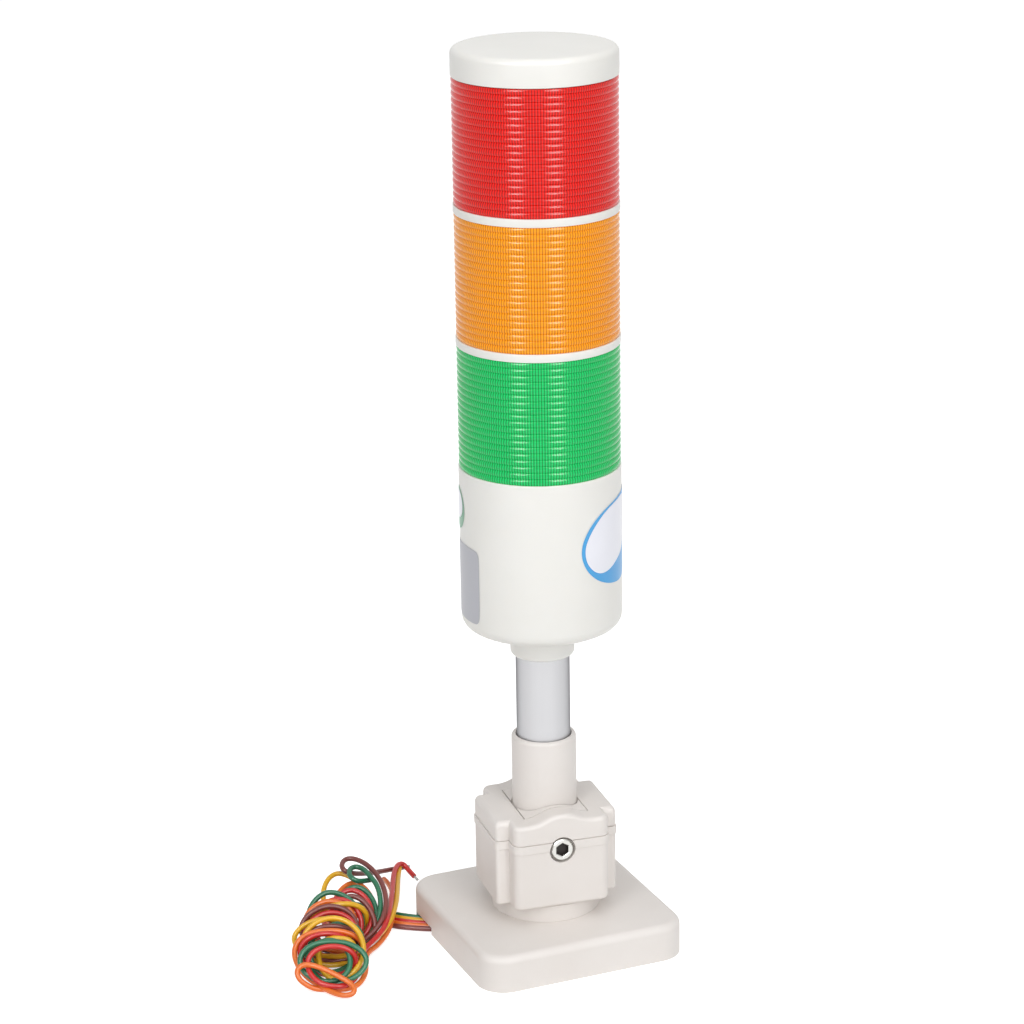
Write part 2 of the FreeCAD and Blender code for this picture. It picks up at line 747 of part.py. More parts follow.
tiers = [("green", green_bottom), ("amber", amber_bottom), ("red", red_bottom)]
for colour, bottom in tiers:
    keep("lens_" + colour, make_lens(bottom), True)
keep("ring_lower", make_ring(ring_lower_bottom), True)
keep("ring_upper", make_ring(ring_upper_bottom), True)

web_up = (ring_height + web_thickness) / 2
web_down = (ring_height - web_thickness) / 2
spans = {"green": (board_level + board_thickness, ring_lower_bottom + web_down),
         "amber": (ring_lower_bottom + web_up, ring_upper_bottom + web_down),
         "red": (ring_upper_bottom + web_up, cap_bottom)}
for colour, (low, high) in spans.items():
    keep("led_column_" + colour, make_led_column(low, high), True)
    keep("leds_" + colour, make_leds(max(low, high - lens_height), high), True)

keep("top_plate", make_top_plate(), True)
keep("top_cap", make_top_cap(), True)
keep("cap_gasket", make_cap_gasket(), True)
keep("tie_rods", make_tie_rods(), True)
keep("tie_nuts", make_tie_nuts(), True)

for index, name in enumerate(lead_names):
    keep("lead_" + name, make_lead(index, name))
keep("lead_hank", make_hank())
keep("lead_tips", make_lead_tips())

os.makedirs("parts", exist_ok=True)
for name, shape in nodes.items():
    shape.exportStep("parts/%s.step" % name)
    print(name, len(shape.Solids), "valid" if shape.isValid() else "NOT VALID", round(shape.Volume, 1))
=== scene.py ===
import bpy, bmesh, json, math, numpy
from mathutils import Matrix, Vector

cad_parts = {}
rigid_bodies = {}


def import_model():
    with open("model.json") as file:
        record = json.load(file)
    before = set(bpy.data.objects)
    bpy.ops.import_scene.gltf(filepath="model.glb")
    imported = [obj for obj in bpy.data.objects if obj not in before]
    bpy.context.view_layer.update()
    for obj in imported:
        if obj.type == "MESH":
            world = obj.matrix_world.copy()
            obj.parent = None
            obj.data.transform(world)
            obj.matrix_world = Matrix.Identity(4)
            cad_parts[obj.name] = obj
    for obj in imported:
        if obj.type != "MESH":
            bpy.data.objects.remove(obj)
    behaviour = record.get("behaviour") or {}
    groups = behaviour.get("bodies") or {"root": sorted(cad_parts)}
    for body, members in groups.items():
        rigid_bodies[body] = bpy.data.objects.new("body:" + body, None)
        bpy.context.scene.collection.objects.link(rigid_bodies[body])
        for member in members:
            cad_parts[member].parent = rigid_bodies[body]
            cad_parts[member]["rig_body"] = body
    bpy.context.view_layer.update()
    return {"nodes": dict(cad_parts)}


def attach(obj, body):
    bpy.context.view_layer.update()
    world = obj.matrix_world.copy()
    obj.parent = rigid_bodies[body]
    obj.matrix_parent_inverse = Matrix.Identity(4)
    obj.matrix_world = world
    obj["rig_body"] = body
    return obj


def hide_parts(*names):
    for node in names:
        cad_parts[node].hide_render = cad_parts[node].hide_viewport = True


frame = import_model()
mm = 0.001  # the tables below are in millimetres and degrees
turretTurn = math.radians(-6.0)  # everything above the base is turned this far
print("frame loaded:", len(frame["nodes"]), "nodes")

# copied solids: width of an eased edge, the least angle that counts as an edge, and the largest bend
# within one flat; weld and sliver, in metres, are what count as one point
easing = {"edge": 0.15, "angle": 28.0, "flat": 0.2, "weld": 2e-6, "sliver": 1e-7}


# --- small helpers

def linearColour(hexCode):
    values = []
    for i in (0, 2, 4):
        c = int(hexCode[i:i + 2], 16) / 255
        values.append(c / 12.92 if c <= 0.04045 else ((c + 0.055) / 1.055) ** 2.4)
    return (*values, 1.0)


def addNode(tree, kind, links=None, **settings):
    # links: input name or index -> value, or (node, output name or index)
    node = tree.nodes.new(kind)
    for key, value in settings.items():
        setattr(node, key, value)
    for key, value in (links or {}).items():
        socket = node.inputs[key]
        if isinstance(value, tuple) and len(value) == 2 and hasattr(value[0], "outputs"):
            tree.links.new(value[0].outputs[value[1]], socket)
        else:
            socket.default_value = value
    return node


def newMaterial(name):
    material = bpy.data.materials.new(name)
    material.use_nodes = True
    tree = material.node_tree
    tree.nodes.clear()
    return material, tree


def finishMaterial(tree, shader):
    addNode(tree, "ShaderNodeOutputMaterial", {"Surface": (shader, 0)})


def setRamp(ramp, *stops):
    for element, (position, colour) in zip(ramp.color_ramp.elements, stops):
        element.position = position
        element.color = linearColour(colour)


def wear(tree, colour, darker):
    # slow, faint change of colour over the surface
    place = addNode(tree, "ShaderNodeTexCoord")
    cloud = addNode(tree, "ShaderNodeTexNoise", {"Vector": (place, "Object"), "Scale": wearLook["scale"],
                                                  "Detail": 4.0})
    ramp = addNode(tree, "ShaderNodeValToRGB", {"Fac": (cloud, "Fac")})
    setRamp(ramp, (wearLook["low"], darker), (wearLook["high"], colour))
    return place, ramp


def mouldedPlastic(name, colour, darker, roughness, grainMm, grainDepthMm, subsurface=0.0):
    # grain: the size and depth of the mould's texture; subsurface: how much light enters
    material, tree = newMaterial(name)
    place, ramp = wear(tree, colour, darker)
    grain = addNode(tree, "ShaderNodeTexNoise", {"Vector": (place, "Object"), "Scale": 1000 / grainMm,
                                                 "Detail": 3.0, "Roughness": 0.6})
    bump = addNode(tree, "ShaderNodeBump", {"Height": (grain, "Fac"), "Strength": plasticLook["grainStrength"],
                                            "Distance": grainDepthMm * mm})
    shader = addNode(tree, "ShaderNodeBsdfPrincipled", {"Base Color": (ramp, "Color"), "Roughness": roughness,
                                                        "IOR": plasticLook["ior"], "Normal": (bump, "Normal")})
    if subsurface:
        shader.inputs["Subsurface Weight"].default_value = subsurface
        shader.inputs["Subsurface Radius"].default_value = plasticLook["spread"]
        shader.inputs["Subsurface Scale"].default_value = plasticLook["depth"] * mm
    finishMaterial(tree, shader)
    return material


def metal(name, colour, roughness, streakMm, streakDepthMm, stretch=(1, 1, 1), edge="FFFFFF"):
    # streaks are drawn out along an axis with a small stretch; edge tints what is seen at a slant, and a dark edge
    # paints shade onto the slanted sides
    material, tree = newMaterial(name)
    place = addNode(tree, "ShaderNodeTexCoord")
    scale = addNode(tree, "ShaderNodeMapping", {"Vector": (place, "Object"), "Scale": stretch})
    grain = addNode(tree, "ShaderNodeTexNoise", {"Vector": (scale, 0), "Scale": 1000 / streakMm, "Detail": 4.0})
    bump = addNode(tree, "ShaderNodeBump", {"Height": (grain, "Fac"), "Strength": metalLook["streakStrength"],
                                            "Distance": streakDepthMm * mm})
    spread = addNode(tree, "ShaderNodeMapRange", {"Value": (grain, "Fac"),
                                                  "To Min": roughness * metalLook["bright"],
                                                  "To Max": roughness * metalLook["dull"]})
    shader = addNode(tree, "ShaderNodeBsdfPrincipled", {"Base Color": linearColour(colour), "Metallic": 1.0,
                                                        "Roughness": (spread, 0), "Normal": (bump, "Normal"),
                                                        "Specular Tint": linearColour(edge)})
    finishMaterial(tree, shader)
    return material


def lensPlastic(name, colour, fluteShade, glow):
    # injection-moulded translucent acrylic. Painted shade: the colour darkens in fine upright stripes, one for
    # each prism on the inside, standing in for those prisms seen through the wall as a grid; a faint emission is
    # painted light
    material, tree = newMaterial(name)
    place = addNode(tree, "ShaderNodeTexCoord")
    parts = addNode(tree, "ShaderNodeSeparateXYZ", {"Vector": (place, "Object")})
    turn = addNode(tree, "ShaderNodeMath", {0: (parts, "Y"), 1: (parts, "X")}, operation="ARCTAN2")
    flutes = addNode(tree, "ShaderNodeMath", {0: (turn, 0), 1: float(lensLook["fluteCount"])},
                     operation="MULTIPLY")
    wave = addNode(tree, "ShaderNodeMath", {0: (flutes, 0)}, operation="SINE")
    level = addNode(tree, "ShaderNodeMapRange", {"Value": (wave, 0), "From Min": -1.0, "From Max": 1.0})
    cloud = addNode(tree, "ShaderNodeTexNoise", {"Vector": (place, "Object"), "Scale": lensLook["cloudScale"],
                                                  "Detail": 3.0})
    faint = addNode(tree, "ShaderNodeMapRange", {"Value": (cloud, "Fac"), "To Min": lensLook["cloudLow"],
                                                  "To Max": 1.0})
    both = addNode(tree, "ShaderNodeMath", {0: (level, 0), 1: (faint, 0)}, operation="MULTIPLY")
    # ramp from the painted shade colour in the stripes to the full colour; the cloud adds a random tone
    ramp = addNode(tree, "ShaderNodeValToRGB", {"Fac": (both, 0)})
    setRamp(ramp, (0.0, fluteShade), (lensLook["full"], colour))
    bump = addNode(tree, "ShaderNodeBump", {"Height": (level, 0), "Strength": lensLook["fluteStrength"],
                                            "Distance": lensLook["fluteDepth"] * mm})
    # the faint emission is painted light: the lens glows a little, though it is no lamp
    shader = addNode(tree, "ShaderNodeBsdfPrincipled", {
        "Base Color": (ramp, "Color"), "Roughness": lensLook["roughness"], "IOR": 1.49,
        "Specular IOR Level": lensLook["specular"], "Normal": (bump, "Normal"),
        "Emission Color": linearColour(glow), "Emission Strength": lensLook["glow"]})
    finishMaterial(tree, shader)
    return material


def setSmooth(mesh, angle=32.0):
    for face in mesh.polygons:
        face.use_smooth = True
    mesh.set_sharp_from_angle(angle=math.radians(angle))


def meshFrom(work, name):
    mesh = bpy.data.meshes.new(name)
    work.to_mesh(mesh)
    work.free()
    setSmooth(mesh)
    return mesh


def newObject(name, data):
    thing = bpy.data.objects.new(name, data)
    bpy.context.scene.collection.objects.link(thing)
    return thing


def appliedMesh(helper):
    # the helper's mesh after its modifiers; the helper itself goes
    graph = bpy.context.evaluated_depsgraph_get()
    result = bpy.data.meshes.new_from_object(helper.evaluated_get(graph))
    bpy.data.objects.remove(helper)
    return result


def addPiece(name, mesh, material, body, slot, *nodes):
    piece = newObject(name, mesh)
    mesh.materials.clear()
    mesh.materials.append(material)
    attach(piece, body)
    if nodes:
        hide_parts(*nodes)


def roundProfile(corners, steps):
    # corners: (radius, height, rounding) round a closed section; rounding 0 keeps the corner
    points = []
    count = len(corners)
    for i, (r, z, rounding) in enumerate(corners):
        here = Vector((r, z))
        if rounding <= 0:
            points.append(here)
            continue
        before = Vector(corners[i - 1][:2]) - here
        after = Vector(corners[(i + 1) % count][:2]) - here
        half = before.angle(after) / 2
        reach = rounding / math.tan(half)
        middle = here + (before.normalized() + after.normalized()).normalized() * (rounding / math.sin(half))
        start, end = here + before.normalized() * reach - middle, here + after.normalized() * reach - middle
        sweep = start.angle_signed(end)
        for step in range(steps + 1):
            arm = start.copy()
            arm.rotate(Matrix.Rotation(-sweep * step / steps, 2))
            points.append(middle + arm)
    return points


def lathe(name, corners, around, steps=6):
    points = roundProfile([(r * mm, z * mm, f * mm) for r, z, f in corners], steps)
    work = bmesh.new()
    rings = []
    for i in range(around):
        t = 2 * math.pi * i / around
        rings.append([work.verts.new((p.x * math.cos(t), p.x * math.sin(t), p.y)) for p in points])
    count = len(points)
    for i in range(around):
        a, b = rings[i], rings[(i + 1) % around]
        for j in range(count):
            k = (j + 1) % count
            work.faces.new((a[j], b[j], b[k], a[k]))
    bmesh.ops.remove_doubles(work, verts=work.verts, dist=easing["sliver"])
    bmesh.ops.recalc_face_normals(work, faces=work.faces)
    return meshFrom(work, name)


def dressedCopy(name, node, material, slot):
    # the solid's own form with its flats joined, its sharp edges eased and its curves shaded smoothly
    mesh = frame["nodes"][node].data.copy()
    mesh.name = name
    work = bmesh.new()
    work.from_mesh(mesh)
    bmesh.ops.remove_doubles(work, verts=work.verts, dist=easing["weld"])
    bmesh.ops.dissolve_degenerate(work, edges=work.edges, dist=easing["sliver"])
    bmesh.ops.dissolve_limit(work, angle_limit=math.radians(easing["flat"]), verts=work.verts, edges=work.edges)
    work.to_mesh(mesh)
    work.free()
    setSmooth(mesh, easing["angle"])
    helper = newObject("helper", mesh)
    ease = helper.modifiers.new("ease", "BEVEL")
    ease.width = easing["edge"] * mm
    ease.segments = 2
    ease.limit_method = "ANGLE"
    ease.angle_limit = math.radians(easing["angle"])
    even = helper.modifiers.new("even", "WEIGHTED_NORMAL")
    even.keep_sharp = True
    addPiece(name, appliedMesh(helper), material, frame["nodes"][node]["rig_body"], slot, node)


# --- materials

wearLook = {"scale": 35.0, "low": 0.35, "high": 0.75}
metalLook = {"streakStrength": 0.4, "bright": 0.8, "dull": 1.2}
plasticLook = {"grainStrength": 0.35, "ior": 1.53, "spread": (0.6, 0.5, 0.4), "depth": 1.5}
# fluteCount: the painted shade stripes round each lens; glow: strength of the painted glow
lensLook = {"fluteCount": 185, "fluteDepth": 0.02, "fluteStrength": 0.5, "glow": 0.1, "roughness": 0.13,
            "specular": 0.32, "cloudScale": 90.0, "cloudLow": 0.8, "full": 0.7}
# injection-moulded ABS from a spark-eroded mould: even, fine matt grain, warm grey-white
footAbs = mouldedPlastic("mouldedAbsFoot", "E9E4E0", "E3DDD8", 0.48, 0.6, 0.05)
# smoother white ABS of the lamp: slight gloss, a little light in the edges
lampAbs = mouldedPlastic("polishedAbsLamp", "ECEBE7", "E8E7E2", 0.4, 1.2, 0.02, 0.08)
# drawn aluminium tube, clear anodised: soft upright streaks; its dark edge tint is painted shade on the tube's
# slanted sides, standing in for dark surroundings reflected there
anodised = metal("anodisedAluminiumTube", "B9B9BB", 0.42, 1.5, 0.01, (1, 1, 0.02), "626264")
# zinc-plated steel: bright with small dull patches
zincSteel = metal("zincPlatedSteel", "C9C8C4", 0.26, 2.0, 0.01)
# dark steel for the inside of the hex socket: painted shade in the recess, dull
socketShadeSteel = mouldedPlastic("paintedShadeSocketSteel", "3A2E28", "241C18", 0.6, 0.8, 0.03)
turnedBrass = metal("turnedBrass", "C9A45A", 0.3, 1.0, 0.01)
tinned = metal("tinnedCopperStrand", "B9B9B6", 0.35, 0.5, 0.02)
boardGreen = mouldedPlastic("solderMaskedBoard", "1D6B3A", "175A30", 0.35, 2.0, 0.02)
boardWhite = mouldedPlastic("whiteSolderMaskedBoard", "F0F0EC", "E6E6E2", 0.35, 2.0, 0.02)
blackMoulding = mouldedPlastic("blackEpoxyMoulding", "1A1A1B", "121213", 0.5, 0.8, 0.02)
ledBody = mouldedPlastic("diodePackageResin", "F2EBC8", "E8DFB4", 0.25, 1.0, 0.01)
foam = mouldedPlastic("closedCellFoamRubber", "1C1C1C", "121212", 0.8, 0.8, 0.1)
# second colour: the painted shade in the stripes; third: the colour of the painted glow
redAcrylic = lensPlastic("redAcrylicLens", "EA160E", "8E0604", "FF2810")
amberAcrylic = lensPlastic("amberAcrylicLens", "F8A204", "C06000", "FFB010")
greenAcrylic = lensPlastic("greenAcrylicLens", "0CC868", "027434", "10E878")
leadColours = {"brown": ("823A33", "70302A"), "orange": ("F27A22", "E06A18"), "red": ("D5231F", "BF1B18"),
               "yellow": ("F2BE1A", "E2AC10"), "green": ("1F7A55", "186646")}
# extruded PVC insulation: smooth and slightly waxy
leadPvc = {key: mouldedPlastic("pvcInsulation" + key.title(), a, b, 0.38, 1.5, 0.02, 0.05)
           for key, (a, b) in leadColours.items()}
labelSilver = mouldedPlastic("silverPolyesterLabel", "B9BAC1", "B2B3BA", 0.38, 3.0, 0.01)
labelWhite = mouldedPlastic("whiteVinylLabel", "EFF0F8", "EBECF4", 0.3, 3.0, 0.01)
labelBlue = mouldedPlastic("blueVinylInk", "45A6E4", "3F9EDC", 0.32, 3.0, 0.01)
labelGreen = mouldedPlastic("greenVinylInk", "62A683", "5A9C79", 0.32, 3.0, 0.01)
print("materials made")


# --- lenses: a plain wall with rounded ribs stacked on it

roundSides = 160  # flats round the lamp's circles
lens = {"radius": 25.0, "wall": 2.0, "height": 38.4, "edgeRound": 0.3, "ribCount": 19, "ribRound": 1.35,
        "ribSides": 14, "ribProud": 0.45, "bottoms": {"green": 159.4, "amber": 200.3, "red": 241.2}}


def ribTree():
    tree = bpy.data.node_groups.new("stackedRibs", "GeometryNodeTree")
    face = tree.interface
    face.new_socket("Geometry", in_out="INPUT", socket_type="NodeSocketGeometry")
    for label, kind in (("Rib Count", "Int"), ("Around", "Int"), ("Ring Radius", "Float"), ("Rib Radius", "Float"),
                        ("First Height", "Float"), ("Pitch", "Float"), ("Material", "Material")):
        face.new_socket(label, in_out="INPUT", socket_type="NodeSocket" + kind)
    face.new_socket("Geometry", in_out="OUTPUT", socket_type="NodeSocketGeometry")
    given = addNode(tree, "NodeGroupInput")
    ring = addNode(tree, "GeometryNodeCurvePrimitiveCircle", {"Resolution": (given, "Around"),
                                                              "Radius": (given, "Ring Radius")})
    section = addNode(tree, "GeometryNodeCurvePrimitiveCircle", {"Resolution": lens["ribSides"],
                                                                 "Radius": (given, "Rib Radius")})
    rib = addNode(tree, "GeometryNodeCurveToMesh", {"Curve": (ring, 0), "Profile Curve": (section, 0)})
    first = addNode(tree, "ShaderNodeCombineXYZ", {"Z": (given, "First Height")})
    step = addNode(tree, "ShaderNodeCombineXYZ", {"Z": (given, "Pitch")})
    stack = addNode(tree, "GeometryNodeMeshLine", {"Count": (given, "Rib Count"), "Start Location": (first, 0),
                                                   "Offset": (step, 0)}, mode="OFFSET")
    ribs = addNode(tree, "GeometryNodeInstanceOnPoints", {"Points": (stack, 0), "Instance": (rib, 0)})
    smooth = addNode(tree, "GeometryNodeSetShadeSmooth", {"Geometry": (ribs, 0)})
    both = addNode(tree, "GeometryNodeJoinGeometry")
    tree.links.new(smooth.outputs[0], both.inputs[0])
    tree.links.new(given.outputs["Geometry"], both.inputs[0])
    whole = addNode(tree, "GeometryNodeRealizeInstances", {"Geometry": (both, 0)})
    paint = addNode(tree, "GeometryNodeSetMaterial", {"Geometry": (whole, 0), "Material": (given, "Material")})
    addNode(tree, "NodeGroupOutput", {0: (paint, 0)})
    return tree


def runTree(mesh, tree, values):
    # evaluates the tree once on a helper object and gives the plain mesh
    helper = newObject("helper", mesh)
    modifier = helper.modifiers.new("tree", "NODES")
    modifier.node_group = tree
    names = {item.name: item.identifier for item in tree.interface.items_tree if item.in_out == "INPUT"}
    for key, value in values.items():
        modifier[names[key]] = value
    return appliedMesh(helper)


def buildLenses():
    tree = ribTree()
    pitch = lens["height"] / lens["ribCount"]
    outer, inner, edge = lens["radius"] - lens["ribProud"], lens["radius"] - lens["wall"], lens["edgeRound"]
    for colour, material in (("green", greenAcrylic), ("amber", amberAcrylic), ("red", redAcrylic)):
        low = lens["bottoms"][colour]
        high = low + lens["height"]
        wall = lathe("lensWall", [(inner, low, 0), (outer, low, edge), (outer, high, edge), (inner, high, 0)],
                     roundSides)
        mesh = runTree(wall, tree, {
            "Rib Count": lens["ribCount"], "Around": roundSides,
            "Ring Radius": (lens["radius"] - lens["ribRound"]) * mm, "Rib Radius": lens["ribRound"] * mm,
            "First Height": (low + pitch / 2) * mm, "Pitch": pitch * mm, "Material": material})
        addPiece("lens" + colour.title(), mesh, material, "mast", "lens_" + colour, "lens_" + colour)


# --- lamp housing, rings, cap and pole

housing = {"radius": 25.1, "bottom": 107.0, "top": 159.4, "bottomRound": 4.0, "topRound": 0.35, "wall": 2.2,
           "floorRound": 1.0, "bore": 8.55, "neckRadius": 10.1, "neckBottom": 97.0, "neckRound": 1.4,
           "boreRound": 0.3, "neckFillet": 0.5}
cap = {"radius": 25.1, "bottom": 279.65, "top": 288.2, "round": 2.0, "rimRound": 0.3, "roof": 1.8, "wall": 1.0}
ringSize = {"radius": 25.15, "inner": 21.0, "height": 2.5, "edgeRound": 0.3,
            "bottoms": {"Lower": 197.8, "Upper": 238.7}}
pole = {"radius": 8.5, "wall": 1.3, "bottom": 52.0, "top": 107.0, "sides": 128}


def buildHousing():
    h = housing
    inner, floor = h["radius"] - h["wall"], h["bottom"] + h["wall"]
    mesh = lathe("housing", [
        (h["bore"], h["neckBottom"], h["boreRound"]), (h["neckRadius"], h["neckBottom"], h["neckRound"]),
        (h["neckRadius"], h["bottom"], h["neckFillet"]), (h["radius"], h["bottom"], h["bottomRound"]),
        (h["radius"], h["top"], h["topRound"]), (inner, h["top"], 0), (inner, floor, h["floorRound"]),
        (h["bore"], floor, 0)], roundSides, 8)
    addPiece("lampHousing", mesh, lampAbs, "mast", "lamp_plastic", "housing")


def buildRings():
    inner, outer, edge = ringSize["inner"], ringSize["radius"], ringSize["edgeRound"]
    for place, low in ringSize["bottoms"].items():
        high = low + ringSize["height"]
        mesh = lathe("ring", [(inner, low, 0), (outer, low, edge), (outer, high, edge), (inner, high, 0)],
                     roundSides)
        addPiece("spacerRing" + place, mesh, lampAbs, "mast", "lamp_plastic", "ring_" + place.lower())


def buildCap():
    roof, inner = cap["top"] - cap["roof"], cap["radius"] - cap["wall"]
    mesh = lathe("cap", [(0, cap["top"], 0), (0, roof, 0), (inner, roof, 0), (inner, cap["bottom"], 0),
                         (cap["radius"], cap["bottom"], cap["rimRound"]),
                         (cap["radius"], cap["top"], cap["round"])], roundSides, 8)
    addPiece("topCap", mesh, lampAbs, "mast", "lamp_plastic", "top_cap")


def buildPole():
    inner, outer, low, high = pole["radius"] - pole["wall"], pole["radius"], pole["bottom"], pole["top"]
    mesh = lathe("pole", [(inner, low, 0), (outer, low, 0), (outer, high, 0), (inner, high, 0)], pole["sides"])
    addPiece("aluminiumPole", mesh, anodised, "mast", "aluminium", "mast_pole")


# --- stickers on the housing, bare of print

def oval(angle, height, halfAngle, halfHeight, count=16):
    turns = [i * 2 * math.pi / count for i in range(count)]
    return [(angle + halfAngle * math.cos(t), height + halfHeight * math.sin(t)) for t in turns]


# outlines: (degrees round the housing, height); lift: how far each lies off it
stickers = {
    "silver": {"material": labelSilver, "lift": 0.1, "outline": [
        (-72.5, 114.5), (-72.4, 133.5), (-73.4, 135.2), (-76, 136.1), (-108, 136.3), (-113, 135.4), (-115, 132.5),
        (-115, 115.5), (-113, 112.8), (-108, 111.9), (-77.5, 111.8), (-74.2, 112.5)]},
    "blue": {"material": labelBlue, "lift": 0.1, "outline": [
        (52.3, 151.4), (36.6, 150.3), (24.5, 148.5), (15.2, 145.6), (9.0, 142.0), (5.9, 138.3), (6.5, 134.5),
        (10.6, 130.7), (18.0, 127.5), (26.1, 125.6), (36, 124.2), (51, 123.4), (65, 125.2), (77, 129.2),
        (85, 135), (88, 141), (86, 147), (79, 150.8), (67, 152.0)]},
    "field": {"material": labelWhite, "lift": 0.16, "outline": [
        (54, 150.7), (36, 149.6), (25.5, 147.7), (17.3, 144.6), (11.8, 141.3), (8.8, 138.1), (9.6, 134.2),
        (13.6, 131.4), (18.8, 129.5), (26.1, 128.7), (34.6, 129.4), (43, 130.9), (53, 132.5), (61, 136),
        (66, 141), (67, 146), (63, 149.8)]},
    "green": {"material": labelGreen, "lift": 0.1, "outline": oval(-105, 146.7, 13.9, 6.9)},
    "pale": {"material": labelWhite, "lift": 0.16, "outline": oval(-105, 147.9, 10.8, 4.6)},
}


def cornersCut(points, rounds=3):
    for turn in range(rounds):
        fresh = []
        for a, b in zip(points, points[1:] + points[:1]):
            fresh += [tuple(p * share + q * (1 - share) for p, q in zip(a, b)) for share in (0.75, 0.25)]
        points = fresh
    return points


def wrapPatch(name, outline, radius, columns=72):
    # upright strips between the lower and the upper edge, bent round the housing
    points = cornersCut(outline)
    sides = list(zip(points, points[1:] + points[:1]))
    first, last = min(p[0] for p in points), max(p[0] for p in points)
    inside = 0.9999  # keeps the end columns within the outline
    work = bmesh.new()
    before = None
    for i in range(columns + 1):
        angle = (first + last) / 2 - (last - first) / 2 * inside * math.cos(math.pi * i / columns)
        levels = [a[1] + (b[1] - a[1]) * (angle - a[0]) / (b[0] - a[0]) for a, b in sides
                  if a[0] != b[0] and min(a[0], b[0]) <= angle <= max(a[0], b[0])]
        t = math.radians(angle)
        column = [work.verts.new((radius * mm * math.sin(t), -radius * mm * math.cos(t), z * mm))
                  for z in (min(levels), max(levels))]
        if before:
            work.faces.new((before[0], column[0], column[1], before[1]))
        before = column
    bmesh.ops.recalc_face_normals(work, faces=work.faces)
    return meshFrom(work, name)


def buildStickers():
    for name, one in stickers.items():
        mesh = wrapPatch("sticker", one["outline"], housing["radius"] + one["lift"])
        addPiece("sticker" + name.title(), mesh, one["material"], "mast", None)


# --- bolt in the hinge's front

bolt = {"head": 3.6, "height": 2.2, "chamfer": 0.35, "hex": 3.9, "hexDepth": 1.9, "mouth": 0.25,
        "mouthDepth": 0.2, "sides": 48, "front": 18.65, "level": 37.1}


def buildBolt():
    work = bmesh.new()
    sides = bolt["sides"]

    def ring(radiusAt, depth):
        verts = []
        for i in range(sides):
            t = 2 * math.pi * i / sides
            r = radiusAt(t) * mm
            verts.append(work.verts.new((r * math.cos(t), (-bolt["front"] + depth) * mm,
                                         bolt["level"] * mm + r * math.sin(t))))
        return verts

    def hexAt(t):
        turn = (t + math.pi / 6) % (math.pi / 3) - math.pi / 6
        return bolt["hex"] / 2 / math.cos(turn)

    def rounded(radius):
        return lambda t: radius

    head, edge = bolt["head"], bolt["chamfer"]
    levels = [ring(rounded(head), bolt["height"]), ring(rounded(head), edge), ring(rounded(head - edge), 0.0),
              ring(lambda t: hexAt(t) + bolt["mouth"], 0.0), ring(hexAt, bolt["mouthDepth"]),
              ring(hexAt, bolt["hexDepth"])]
    for low, high in zip(levels, levels[1:]):
        for i in range(sides):
            j = (i + 1) % sides
            work.faces.new((low[i], low[j], high[j], high[i]))
    work.faces.new(levels[-1])
    work.faces.new(levels[0])
    # faces deep in the hex recess get the second, dark material: painted shade in the socket
    for face in work.faces:
        face.material_index = int(all(vert in levels[-1] + levels[-2] for vert in face.verts))
    bmesh.ops.recalc_face_normals(work, faces=work.faces)
    work.transform(Matrix.Rotation(turretTurn, 4, "Z"))
    mesh = meshFrom(work, "hingeBolt")
    # the painted-shade faces of the socket, set again once both materials are on the mesh
    inside = [face.material_index for face in mesh.polygons]
    addPiece("hingeBoltHead", mesh, zincSteel, "turret", "steel", "hinge_bolt")
    mesh.materials.append(socketShadeSteel)
    mesh.polygons.foreach_set("material_index", inside)


# --- flying leads

leadSize = {"diameter": 1.7, "lift": 0.95, "pitch": 1.76}
# the bare end: its length, how far it starts inside the insulation, the bundle's width and its strands
tips = {"leads": ("brown", "red", "yellow"), "length": 2.6, "sunk": 0.4, "width": 0.9, "strands": 7,
        "sides": 8, "splay": 0.05}
# how strands that meet are parted: the neighbours along a lead that may touch, the points held at
# each end, and the shares of a shift that stay at its point and pass to each neighbour
parting = {"rounds": 60, "neighbours": 3, "heldFirst": 3, "heldLast": 2, "own": 0.6, "passedOn": 0.2}
# front and back: the ends of the hank's axis on the floor
hank = {"front": (-75.0, 0.0), "back": (-54.0, 44.0), "stepsPerTurn": 13, "firstAngle": -100, "lastAngle": 250,
        "low": 1.2}
